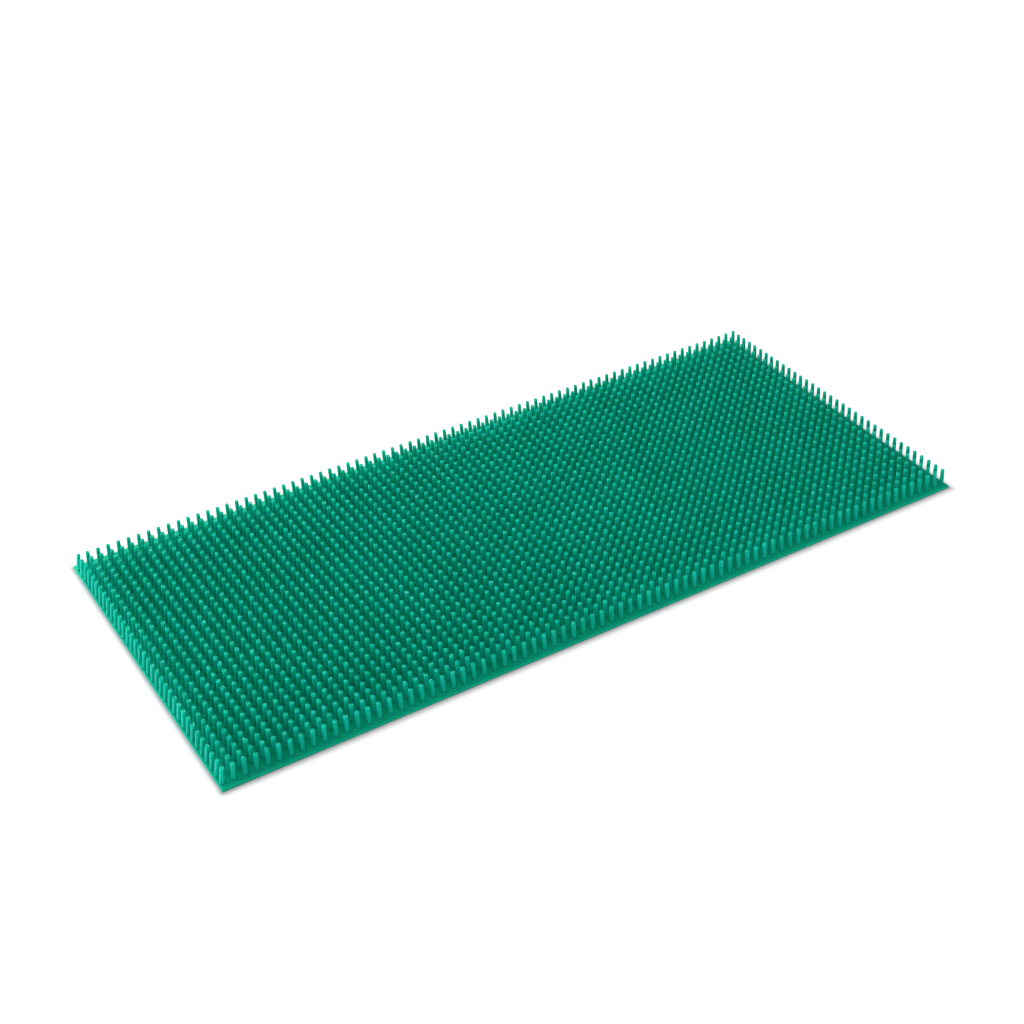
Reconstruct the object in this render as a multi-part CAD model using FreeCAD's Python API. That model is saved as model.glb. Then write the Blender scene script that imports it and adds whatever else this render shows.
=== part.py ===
"""Silicone pin mat: a thin flat sheet with a dense square-set field of upright pins on its top face.

Millimetres, +Z up. The origin is the centre of the underside, which is the face the mat lies on.
+X runs along the long side and +Y along the short side, from the front edge to the back edge.

The real mat is one moulding. Here it is the sheet, moulded together with its first and last rows
of pins, and one node for each row of pins between them, seated on the sheet's top face.
"""
import FreeCAD
import Part

import math
import os

# The sheet
SHEET_LENGTH = 508.0
SHEET_WIDTH = 228.6
SHEET_THICKNESS = 1.6

# The pin field
COLUMNS = 77
ROWS = 35
END_MARGIN = 2.2  # from a short edge of the sheet to the axes of the nearest pins
SIDE_MARGIN = 5.0  # from a long edge of the sheet to the axes of the nearest pins
MAT_HEIGHT = 12.7  # from the underside to the pin tips

# One pin. It is round on the mat. The field has thousands of pins, so each is a straight column
# with the fewest faces, and with the round pin's area in section, which keeps its volume and mass.
PIN_DIAMETER = 2.5
PIN_SIDES = 3

# Worked out from the values above
COLUMN_PITCH = (SHEET_LENGTH - 2 * END_MARGIN) / (COLUMNS - 1)
ROW_PITCH = (SHEET_WIDTH - 2 * SIDE_MARGIN) / (ROWS - 1)
PIN_LENGTH = MAT_HEIGHT - SHEET_THICKNESS
PIN_AREA = math.pi * PIN_DIAMETER**2 / 4


def sheet():
    """The flat sheet, centred on the origin, with its underside at Z = 0."""
    corner = FreeCAD.Vector(-SHEET_LENGTH / 2, -SHEET_WIDTH / 2, 0)
    return Part.makeBox(SHEET_LENGTH, SHEET_WIDTH, SHEET_THICKNESS, corner)


def pin():
    """One pin at the origin, as a regular column whose corners lie on a circle."""
    turn = 2 * math.pi / PIN_SIDES
    corner_radius = math.sqrt(2 * PIN_AREA / (PIN_SIDES * math.sin(turn)))
    corners = [
        FreeCAD.Vector(corner_radius * math.sin(k * turn), corner_radius * math.cos(k * turn), 0)
        for k in range(PIN_SIDES)
    ]
    outline = Part.makePolygon(corners + corners[:1])
    return Part.Face(outline).extrude(FreeCAD.Vector(0, 0, PIN_LENGTH))


def row_of_pins(row):
    """The pins of one row, standing on the sheet's top face. Row 0 is the front row."""
    y = (row - (ROWS - 1) / 2) * ROW_PITCH
    pattern = pin()
    pins = []
    for column in range(COLUMNS):
        x = (column - (COLUMNS - 1) / 2) * COLUMN_PITCH
        pins.append(pattern.translated(FreeCAD.Vector(x, y, SHEET_THICKNESS)))
    return pins


def sheet_with_edge_rows():
    """The sheet in one solid with its first and last rows of pins."""
    edge_pins = row_of_pins(0) + row_of_pins(ROWS - 1)
    return sheet().fuse(edge_pins).Solids[0]


def write_step(node, shape):
    shape.exportStep(os.path.join("parts", node + ".step"))


def main():
    os.makedirs("parts", exist_ok=True)
    write_step("base_sheet", sheet_with_edge_rows())
    for row in range(1, ROWS - 1):
        write_step("pin_row_%02d" % (row + 1), Part.makeCompound(row_of_pins(row)))


main()
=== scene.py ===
"""Silicone pin mat: the sheet, its round pins and their moulded tips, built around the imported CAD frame."""

import math

import bpy
import numpy as np
from mathutils import Matrix, Vector


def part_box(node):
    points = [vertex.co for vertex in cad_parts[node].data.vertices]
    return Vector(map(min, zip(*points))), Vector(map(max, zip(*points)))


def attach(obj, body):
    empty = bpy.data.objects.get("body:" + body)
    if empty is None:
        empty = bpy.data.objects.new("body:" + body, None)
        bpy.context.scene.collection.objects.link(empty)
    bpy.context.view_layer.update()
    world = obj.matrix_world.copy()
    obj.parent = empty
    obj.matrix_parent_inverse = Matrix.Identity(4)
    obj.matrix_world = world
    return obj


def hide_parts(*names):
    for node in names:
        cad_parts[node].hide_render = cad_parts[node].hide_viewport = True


MM = 0.001
SEED = 20

# The mat, as in the CAD source
COLUMNS = 77
ROWS = 35
END_MARGIN = 2.2 * MM
SIDE_MARGIN = 5.0 * MM
SHEET_THICKNESS = 1.6 * MM
EDGE_BEVEL = 0.25 * MM  # the cut edges are softened by this much

# The shape of one pin
SIDES = 20
FOOT_RADIUS = 1.33 * MM
TIP_RADIUS = 1.22 * MM
FILLET = 0.45 * MM
SINK = 0.05 * MM  # how far a pin's foot reaches into the sheet
SHORTER = 0.12 * MM  # a pin is at most this much shorter than the longest
RIM = 0.2 * MM  # how far a tip's edge is rounded
CUP = 0.35 * MM  # the deepest hollow in a tip
LEAST_CUP = 0.3  # the shallowest, as a share of that

# How the pins lean
LEAN = 0.08 * MM  # typical sideways place of a tip over its foot, at random
LEAN_LIMIT = 2.2  # times that at most
BEND = 1.6  # power that brings the lean in mostly near the tip
FIRST_DRIFT = 1.3 * MM  # shared lean of the left column's tips, inwards
NEXT_DRIFT = 0.4 * MM  # of the columns beside it
LAST_DRIFT = -0.5 * MM  # and of all columns beyond DRIFT_REACH, towards the left end
DRIFT_REACH = 0.14

# Flash, the thin ragged rim that the mould leaves on some tips
FLASH_HEIGHT = 0.45 * MM
FLASH_FLARE = 0.1 * MM  # how far it stands outwards
FLASH_SHARE = 0.5  # of the tips at the front left corner that have it
FAR_FLASH_SHARE = 0.06  # and of those beyond FLASH_FADE from there
FLASH_FADE = 0.3
LEAST_FLASH = 0.08  # height that every rim has, as a share of FLASH_HEIGHT
HORN_HEIGHTS = (0.35, 1.0)  # of the horns that some rims have
HORN_WIDTHS = (0.3, 0.7)  # their half widths as angles round the rim
PAINTED_GLINT_THRESHOLD = 0.3  # flash above this share has its rim painted with the pale glint colour
RIM_RINGS = {7: 0.45, 8: 1.0, 9: 0.35}  # how much of the flash each ring of the profile takes

# Tone, the place on a material's colour ramp, from 0 at the deepest to 1 at the palest
PIN_TONES = (0.26, 0.5)
CLOUD_TONE = 0.35  # how much cloudy variation adds at most
PAINTED_ROOT_SHADE = 0.3  # painted shade: how much deeper the tone gets down to a pin's root
PAINTED_ROOT_SHADE_POWER = 1.3
PAINTED_BACK_ROOT_LIGHT = 0.3  # painted light: how much paler than its tip a root is at the back edge, where light comes in from behind
PAINTED_BACK_ROOT_LIGHT_REACH = 25 * MM
LEFT_PAINTED_LIGHT = 0.15  # painted light: how much paler the pins at the left end are
LEFT_PAINTED_LIGHT_REACH = 14 * MM

# Colours of the silicone: root, deep and bright tones of the sheet and of the pins
SHEET_COLOURS = ((0.001, 0.31, 0.17), (0.001, 0.46, 0.25), (0.002, 0.52, 0.28))
PIN_COLOURS = ((0.002, 0.33, 0.2), (0.003, 0.39, 0.28), (0.005, 0.52, 0.4))
PAINTED_GLINT_COLOUR = (0.16, 0.8, 0.74)  # painted glint: the pale colour on a tip's flash
DEEP_TONE = 0.4  # tones at which the deep and the bright colour are reached
BRIGHT_TONE = 0.85
PAINTED_EDGE_LIGHT = (0.004, 0.41, 0.26)  # painted light: the sheet's colour towards any edge
PAINTED_EDGE_LIGHT_REACH = 7.0 * MM  # and how far that reaches
PAINTED_BACK_EDGE_LIGHT = (0.008, 0.56, 0.33)  # painted light: the sheet's colour towards its back edge
PAINTED_BACK_EDGE_LIGHT_REACH = 24.0 * MM

# Surface of the silicone
ROUGHNESS = 0.46
IOR = 1.41
SHEET_SPECULAR = 0.04
PIN_SPECULAR = 0.2
SPECULAR_TINT = (0.1, 0.9, 1.0, 1.0)
SCATTER_RADIUS = (0.1, 1.0, 0.7)
SCATTER_SCALE = 2.4 * MM
CLOUD_SCALE = 22.0
GRAIN_SCALE = 900.0
GRAIN_STRENGTH = 0.12
GRAIN_DEPTH = 0.2 * MM

# Floor and surroundings
FLOOR_REACH = 6.0
FLOOR_GAP = 0.02 * MM
PAPER = (0.8, 0.755, 0.775, 1.0)
PAPER_ROUGHNESS = 0.9
FLOOR_LIFT = 0.6  # strength of the floor's own white, where it is seen directly
# A contact shadow painted on the floor by distance from the sheet's edges: its reach and its depth
PAINTED_SHADOW_REACH = 8.5 * MM  # of the painted contact shadow along the long sides
END_PAINTED_SHADOW_REACH = 6.6 * MM
PAINTED_SHADOW_DEPTH = 0.7
BRIGHT_SIDE = (-0.62, -0.45, -0.64)  # where the surroundings are brightest
BRIGHT = 1.27
DIM = 0.3
WHITE = (1.0, 1.0, 1.0)

# Name, place, size, power and colour of each lamp
LAMPS = (
    ("front_light", (0.2, -1.4, 0.6), (1.2, 0.7), 3.5, WHITE),
    ("side_light", (-1.5, 0.3, 0.45), (0.6, 0.6), 10.0, (0.62, 0.88, 1.0)),
    ("back_light", (-0.9, 1.3, 0.7), (1.6, 0.7), 12.0, WHITE),
    ("low_back_light", (-0.3, 1.4, 0.26), (1.8, 0.3), 10.0, (0.9, 1.0, 0.85)),
)

# Camera, from the mat's centre
CAMERA_PLACE = Vector((-0.4356, -0.7190, 0.6083))
CAMERA_AIM = Vector((0.0032, 0.0175, 0.0))
CAMERA_ROLL = math.radians(-1.41)
CAMERA_LENS = 57.8
SENSOR_WIDTH = 36.0

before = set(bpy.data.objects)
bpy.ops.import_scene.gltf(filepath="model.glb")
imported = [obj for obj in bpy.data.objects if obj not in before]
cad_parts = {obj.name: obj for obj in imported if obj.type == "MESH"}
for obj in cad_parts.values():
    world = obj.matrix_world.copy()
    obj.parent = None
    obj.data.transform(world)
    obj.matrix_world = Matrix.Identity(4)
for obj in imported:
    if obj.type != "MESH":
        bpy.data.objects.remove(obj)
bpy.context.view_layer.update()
low, high = (Vector(c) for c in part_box("base_sheet"))
random = np.random.RandomState(SEED)


# Materials

def new_material(name):
    material = bpy.data.materials.new(name)
    material.use_nodes = True
    return material, material.node_tree.nodes, material.node_tree.links


def math_node(nodes, links, operation, first, second):
    """A Math node on two inputs, each a socket or a number."""
    node = nodes.new("ShaderNodeMath")
    node.operation = operation
    for slot, value in enumerate((first, second)):
        if isinstance(value, float):
            node.inputs[slot].default_value = value
        else:
            links.new(value, node.inputs[slot])
    return node.outputs["Value"]


def place_axes(nodes, links):
    """The object coordinates, in metres from the mat's centre."""
    place = nodes.new("ShaderNodeTexCoord")
    axes = nodes.new("ShaderNodeSeparateXYZ")
    links.new(place.outputs["Object"], axes.inputs["Vector"])
    return axes.outputs


def noise(nodes, links, scale, detail):
    """Noise in object coordinates."""
    place = nodes.new("ShaderNodeTexCoord")
    texture = nodes.new("ShaderNodeTexNoise")
    texture.inputs["Scale"].default_value = scale
    texture.inputs["Detail"].default_value = detail
    links.new(place.outputs["Object"], texture.inputs["Vector"])
    return texture.outputs["Fac"]


def silicone(name, colours, specular):
    """Translucent moulded silicone. The tone varies a little from pin to pin and cloudily along the mat. On
    the pins it also carries painted shade at their roots, painted light at the left end and at the back edge,
    and painted glints on their flash.
    """
    material, nodes, links = new_material(name)
    shader = nodes["Principled BSDF"]
    shader.inputs["Roughness"].default_value = ROUGHNESS
    shader.inputs["IOR"].default_value = IOR
    shader.inputs["Specular Tint"].default_value = SPECULAR_TINT
    shader.inputs["Specular IOR Level"].default_value = specular
    shader.inputs["Subsurface Weight"].default_value = 1.0
    shader.inputs["Subsurface Radius"].default_value = SCATTER_RADIUS
    shader.inputs["Subsurface Scale"].default_value = SCATTER_SCALE
    tone = nodes.new("ShaderNodeAttribute")
    tone.attribute_name = "pin_tone_and_painted_light"
    haze = math_node(nodes, links, "MULTIPLY", noise(nodes, links, CLOUD_SCALE, 3.0), CLOUD_TONE)
    root, deep, bright = colours
    ramp = nodes.new("ShaderNodeValToRGB")
    ramp.color_ramp.elements[0].color = root + (1.0,)
    ramp.color_ramp.elements[1].color = PAINTED_GLINT_COLOUR + (1.0,)
    ramp.color_ramp.elements.new(DEEP_TONE).color = deep + (1.0,)
    ramp.color_ramp.elements.new(BRIGHT_TONE).color = bright + (1.0,)
    links.new(math_node(nodes, links, "ADD", haze, tone.outputs["Fac"]), ramp.inputs["Fac"])
    links.new(ramp.outputs["Color"], shader.inputs["Base Color"])
    bump = nodes.new("ShaderNodeBump")
    bump.inputs["Strength"].default_value = GRAIN_STRENGTH
    bump.inputs["Distance"].default_value = GRAIN_DEPTH
    links.new(noise(nodes, links, GRAIN_SCALE, 2.0), bump.inputs["Height"])
    links.new(bump.outputs["Normal"], shader.inputs["Normal"])
    return material


def past_edges(nodes, links):
    """How far a point lies past the sheet's ends and past its long sides, less than 0 inside them."""
    axes = place_axes(nodes, links)
    sizes = [math_node(nodes, links, "ABSOLUTE", axes[axis], 0.0) for axis in "XY"]
    return [math_node(nodes, links, "SUBTRACT", size, half) for size, half in zip(sizes, (high.x, high.y))]


def smooth_range(nodes, links, value, start, end):
    """value turned smoothly from 0 at start to 1 at end."""
    change = nodes.new("ShaderNodeMapRange")
    change.interpolation_type = "SMOOTHSTEP"
    change.inputs["From Min"].default_value = start
    change.inputs["From Max"].default_value = end
    links.new(value, change.inputs["Value"])
    return change.outputs["Result"]


def tint_towards(nodes, links, factor, colour):
    """Blends the shader's base colour towards another by a factor."""
    base = nodes["Principled BSDF"].inputs["Base Color"]
    blend = nodes.new("ShaderNodeMix")
    blend.data_type = "RGBA"
    links.new(factor, blend.inputs["Factor"])
    links.new(base.links[0].from_socket, blend.inputs["A"])
    blend.inputs["B"].default_value = colour + (1.0,)
    links.new(blend.outputs["Result"], base)


def paint_edge_light(material):
    """Paints light into the sheet's colour: brighter towards its edges, most of all the back one, where light
    gets into it.
    """
    nodes, links = material.node_tree.nodes, material.node_tree.links
    inset = math_node(nodes, links, "MAXIMUM", *past_edges(nodes, links))
    tint_towards(nodes, links, smooth_range(nodes, links, inset, -PAINTED_EDGE_LIGHT_REACH, 0.0), PAINTED_EDGE_LIGHT)
    axes = place_axes(nodes, links)
    back = smooth_range(nodes, links, axes["Y"], high.y - PAINTED_BACK_EDGE_LIGHT_REACH, high.y)
    tint_towards(nodes, links, back, PAINTED_BACK_EDGE_LIGHT)


def seen_directly(nodes, links):
    """1 for the camera's rays and those of reflections and clear bodies, 0 for the light that they gather."""
    ray = nodes.new("ShaderNodeLightPath").outputs
    gloss = math_node(nodes, links, "MAXIMUM", ray["Is Glossy Ray"], ray["Is Transmission Ray"])
    return math_node(nodes, links, "MAXIMUM", ray["Is Camera Ray"], gloss)


def share_left_by_painted_shadow(nodes, links):
    """1 out on the floor, and less near the sheet, by a narrow contact shadow painted round it by distance
    from its edges.
    """
    outward = [math_node(nodes, links, "MAXIMUM", past, 0.0) for past in past_edges(nodes, links)]
    outward[0] = math_node(nodes, links, "MULTIPLY", outward[0], PAINTED_SHADOW_REACH / END_PAINTED_SHADOW_REACH)
    squares = [math_node(nodes, links, "POWER", length, 2.0) for length in outward]
    away = math_node(nodes, links, "POWER", math_node(nodes, links, "ADD", *squares), 0.5)
    near = math_node(nodes, links, "SUBTRACT", 1.0, math_node(nodes, links, "DIVIDE", away, PAINTED_SHADOW_REACH))
    near = math_node(nodes, links, "MAXIMUM", near, 0.0)
    shade = math_node(nodes, links, "MULTIPLY", math_node(nodes, links, "POWER", near, 2.0), PAINTED_SHADOW_DEPTH)
    return math_node(nodes, links, "SUBTRACT", 1.0, shade)


def floor_material():
    """White paper with a narrow contact shadow painted round the sheet, over the real shadows that the lamps
    cast. The camera sees it white where nothing shades it.
    """
    material, nodes, links = new_material("floor_white")
    shader = nodes["Principled BSDF"]
    shader.inputs["Roughness"].default_value = PAPER_ROUGHNESS
    shader.inputs["Specular IOR Level"].default_value = 0.0
    shader.inputs["Emission Color"].default_value = WHITE + (1.0,)
    # painted shadow: the paper's colour and its own white are both darkened near the sheet
    open_share = share_left_by_painted_shadow(nodes, links)
    paper = nodes.new("ShaderNodeMix")
    paper.data_type = "RGBA"
    paper.inputs["A"].default_value = (0.0, 0.0, 0.0, 1.0)
    paper.inputs["B"].default_value = PAPER
    links.new(open_share, paper.inputs["Factor"])
    links.new(paper.outputs["Result"], shader.inputs["Base Color"])
    seen = math_node(nodes, links, "MULTIPLY", seen_directly(nodes, links), open_share)
    links.new(math_node(nodes, links, "MULTIPLY", seen, FLOOR_LIFT), shader.inputs["Emission Strength"])
    return material


# Mesh building

def new_piece(name, vertices, faces, material, smooth=True):
    mesh = bpy.data.meshes.new(name)
    mesh.from_pydata(vertices, [], faces)
    mesh.materials.append(material)
    if smooth:
        mesh.shade_smooth()
    piece = bpy.data.objects.new(name, mesh)
    bpy.context.collection.objects.link(piece)
    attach(piece, "root")
    return piece


def pin_profile(length, cup):
    """(radius, height) rings from the foot, up the side, over the rim and down into the tip's hollow."""
    return [
        (FOOT_RADIUS + FILLET, -SINK),
        (FOOT_RADIUS + FILLET * 0.45, FILLET * 0.12),
        (FOOT_RADIUS + FILLET * 0.14, FILLET * 0.45),
        (FOOT_RADIUS, FILLET * 1.1),
        ((FOOT_RADIUS * 2 + TIP_RADIUS) / 3, length / 3),
        ((FOOT_RADIUS + TIP_RADIUS * 2) / 3, length * 2 / 3),
        (TIP_RADIUS, length - RIM * 1.5),
        (TIP_RADIUS - RIM * 0.25, length - RIM * 0.5),
        (TIP_RADIUS - RIM * 0.9, length),
        (TIP_RADIUS - RIM * 1.9, length - cup * 0.35),
        (TIP_RADIUS - RIM * 3.0, length - cup * 0.85),
        (TIP_RADIUS * 0.2, length - cup),
    ]


def flash_outline(angles, chance):
    """Height of the flash round one tip's rim, from 0 to 1: one or two thin horns, or next to nothing."""
    height = np.full(len(angles), LEAST_FLASH)
    if random.uniform() > chance:
        return height
    for _ in range(random.randint(1, 3)):
        off = (angles - random.uniform(0, 2 * math.pi) + math.pi) % (2 * math.pi) - math.pi
        height += random.uniform(*HORN_HEIGHTS) * np.exp(-((off / random.uniform(*HORN_WIDTHS)) ** 2))
    return height.clip(0.0, 1.0)


def shared_drift(inset):
    """Lean along the mat that all the pins at this distance from its left end share."""
    if inset < END_MARGIN * 1.5:  # only the first column stands so near the end
        return FIRST_DRIFT
    return np.interp(inset, (0.0, DRIFT_REACH), (NEXT_DRIFT, LAST_DRIFT))


def capped_tube(rings):
    """Faces over rings of SIDES vertices and one more vertex, which closes the last ring."""
    faces = []
    for k in range(rings - 1):
        for s in range(SIDES):
            t = (s + 1) % SIDES
            faces.append((k * SIDES + s, k * SIDES + t, (k + 1) * SIDES + t, (k + 1) * SIDES + s))
    last = (rings - 1) * SIDES
    for s in range(SIDES):
        faces.append((last + s, last + (s + 1) % SIDES, last + SIDES))
    faces.append(tuple(range(SIDES - 1, -1, -1)))
    return faces


def one_pin(foot, top, bottom):
    """Vertices, faces and tones of one pin, its foot's centre at foot and its flash at most at height top."""
    from_left = foot[0] - low.x
    from_back = high.y - foot[1]
    from_corner = math.hypot(from_left, foot[1] - low.y)
    length = top - FLASH_HEIGHT - bottom + random.uniform(-SHORTER, 0.0)
    lean = random.normal(0.0, LEAN, 2).clip(-LEAN_LIMIT * LEAN, LEAN_LIMIT * LEAN)
    lean[0] += shared_drift(from_left)
    angles = np.arange(SIDES) * 2 * math.pi / SIDES
    ring = np.stack([np.cos(angles), np.sin(angles)], 1)
    chance = np.interp(from_corner, (0.0, FLASH_FADE), (FLASH_SHARE, FAR_FLASH_SHARE))
    flash = flash_outline(angles, chance)
    # painted light: pins near the left end get a paler tone
    tone = random.uniform(*PIN_TONES) + np.interp(from_left, (0.0, LEFT_PAINTED_LIGHT_REACH), (LEFT_PAINTED_LIGHT, 0.0))
    # painted shade deepens the tone towards each root, and near the back edge painted light makes it paler
    # there instead
    painted_root_light_and_shade = np.interp(from_back, (0.0, PAINTED_BACK_ROOT_LIGHT_REACH), (-PAINTED_BACK_ROOT_LIGHT, PAINTED_ROOT_SHADE))
    circles, tones = [], []
    for k, (radius, height) in enumerate(pin_profile(length, CUP * random.uniform(LEAST_CUP, 1.0))):
        share = RIM_RINGS.get(k, 0.0)
        up = min(max(height / length, 0.0), 1.0)
        flat = ring * (radius + FLASH_FLARE * share * flash)[:, None] + foot + lean * up ** BEND
        circles.append(np.column_stack([flat, bottom + height + share * flash * FLASH_HEIGHT]))
        fade = painted_root_light_and_shade * (1.0 - up) ** PAINTED_ROOT_SHADE_POWER
        # painted glints: rims with enough flash take the pale glint colour
        tones.append(tone - fade + (1.0 - tone) * share * (flash > PAINTED_GLINT_THRESHOLD))
    vertices = np.vstack(circles + [[[*(foot + lean), circles[-1][0, 2]]]])
    return vertices, capped_tube(len(circles)), np.append(np.concatenate(tones), tone)


def row_of_pins(row, material):
    """One row of pins as one piece, row 0 at the front."""
    y = np.interp(row, (0, ROWS - 1), (low.y + SIDE_MARGIN, high.y - SIDE_MARGIN))
    vertices, faces, tones = [], [], []
    count = 0
    for column in range(COLUMNS):
        x = np.interp(column, (0, COLUMNS - 1), (low.x + END_MARGIN, high.x - END_MARGIN))
        own, sides, shades = one_pin(np.array([x, y]), high.z, low.z + SHEET_THICKNESS)
        vertices.append(own)
        faces.extend(tuple(i + count for i in face) for face in sides)
        tones.append(shades)
        count += len(own)
    piece = new_piece("pins_row_%02d" % (row + 1), np.vstack(vertices), faces, material)
    shade = piece.data.attributes.new("pin_tone_and_painted_light", "FLOAT", "POINT")
    shade.data.foreach_set("value", np.concatenate(tones))
    return piece


def sheet(material):
    """The flat sheet, its cut edges softened by a small bevel."""
    bottom, top = low.z, low.z + SHEET_THICKNESS
    corners = [(low.x, low.y), (high.x, low.y), (high.x, high.y), (low.x, high.y)]
    vertices = [(x, y, bottom) for x, y in corners] + [(x, y, top) for x, y in corners]
    faces = [(3, 2, 1, 0), (4, 5, 6, 7)]
    faces += [(k, (k + 1) % 4, (k + 1) % 4 + 4, k + 4) for k in range(4)]
    piece = new_piece("mat_sheet", vertices, faces, material, smooth=False)
    bevel = piece.modifiers.new("edge", "BEVEL")
    bevel.width = EDGE_BEVEL
    bevel.segments = 3
    return piece


# Stage

def add_floor():
    """A large plain floor just under the mat."""
    mesh = bpy.data.meshes.new("floor")
    corners = [(-FLOOR_REACH, -FLOOR_REACH, 0), (FLOOR_REACH, -FLOOR_REACH, 0),
               (FLOOR_REACH, FLOOR_REACH, 0), (-FLOOR_REACH, FLOOR_REACH, 0)]
    mesh.from_pydata(corners, [], [(0, 1, 2, 3)])
    mesh.materials.append(floor_material())
    floor = bpy.data.objects.new("floor", mesh)
    floor.location.z = low.z - FLOOR_GAP
    bpy.context.collection.objects.link(floor)


def add_world():
    """White surroundings, brightest low in front and to the left, and plain white where seen directly."""
    world = bpy.data.worlds.new("studio")
    world.use_nodes = True
    nodes, links = world.node_tree.nodes, world.node_tree.links
    backdrop = nodes["Background"]
    place = nodes.new("ShaderNodeTexCoord")
    facing = nodes.new("ShaderNodeVectorMath")
    facing.operation = "DOT_PRODUCT"
    facing.inputs[1].default_value = BRIGHT_SIDE
    links.new(place.outputs["Generated"], facing.inputs[0])
    fade = nodes.new("ShaderNodeMapRange")
    fade.inputs["From Min"].default_value = -1.0
    fade.inputs["To Min"].default_value = DIM
    fade.inputs["To Max"].default_value = BRIGHT
    links.new(facing.outputs["Value"], fade.inputs["Value"])
    strength = nodes.new("ShaderNodeMix")
    strength.inputs["B"].default_value = 1.0
    links.new(seen_directly(nodes, links), strength.inputs["Factor"])
    links.new(fade.outputs["Result"], strength.inputs["A"])
    links.new(strength.outputs["Result"], backdrop.inputs["Strength"])
    backdrop.inputs["Color"].default_value = WHITE + (1.0,)
    bpy.context.scene.world = world


def add_softbox(name, place, size, power, colour):
    """A rectangular lamp that faces the mat's centre."""
    lamp = bpy.data.lights.new(name, "AREA")
    lamp.color = colour
    lamp.shape = "RECTANGLE"
    lamp.size, lamp.size_y = size
    lamp.energy = power
    box = bpy.data.objects.new(name, lamp)
    box.location = place
    box.rotation_euler = (-Vector(place)).to_track_quat("-Z", "Y").to_euler()
    bpy.context.collection.objects.link(box)


def add_camera():
    """The camera, turned about its own axis by CAMERA_ROLL from level."""
    lens = bpy.data.cameras.new("camera")
    lens.lens = CAMERA_LENS
    lens.sensor_width = SENSOR_WIDTH
    camera = bpy.data.objects.new("camera", lens)
    forward = (CAMERA_AIM - CAMERA_PLACE).normalized()
    level = forward.cross(Vector((0, 0, 1))).normalized()
    upright = level.cross(forward)
    right = math.cos(CAMERA_ROLL) * level + math.sin(CAMERA_ROLL) * upright
    up = right.cross(forward)
    turn = Matrix((right, up, -forward)).transposed()
    camera.matrix_world = Matrix.Translation(CAMERA_PLACE) @ turn.to_4x4()
    bpy.context.collection.objects.link(camera)
    bpy.context.scene.camera = camera


def main():
    bpy.context.scene.view_settings.view_transform = "Standard"
    sheet_green = silicone("silicone_sheet", SHEET_COLOURS, SHEET_SPECULAR)
    pin_green = silicone("silicone_pins", PIN_COLOURS, PIN_SPECULAR)
    paint_edge_light(sheet_green)
    base = sheet(sheet_green)
    for row in range(ROWS):
        piece = row_of_pins(row, pin_green)
        # the CAD's sheet is one solid with its first and last rows of pins
        inner = 0 < row < ROWS - 1
        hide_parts("pin_row_%02d" % (row + 1) if inner else "base_sheet")
    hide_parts("base_sheet")
    add_floor()
    add_world()
    for lamp in LAMPS:
        add_softbox(*lamp)
    add_camera()


main()
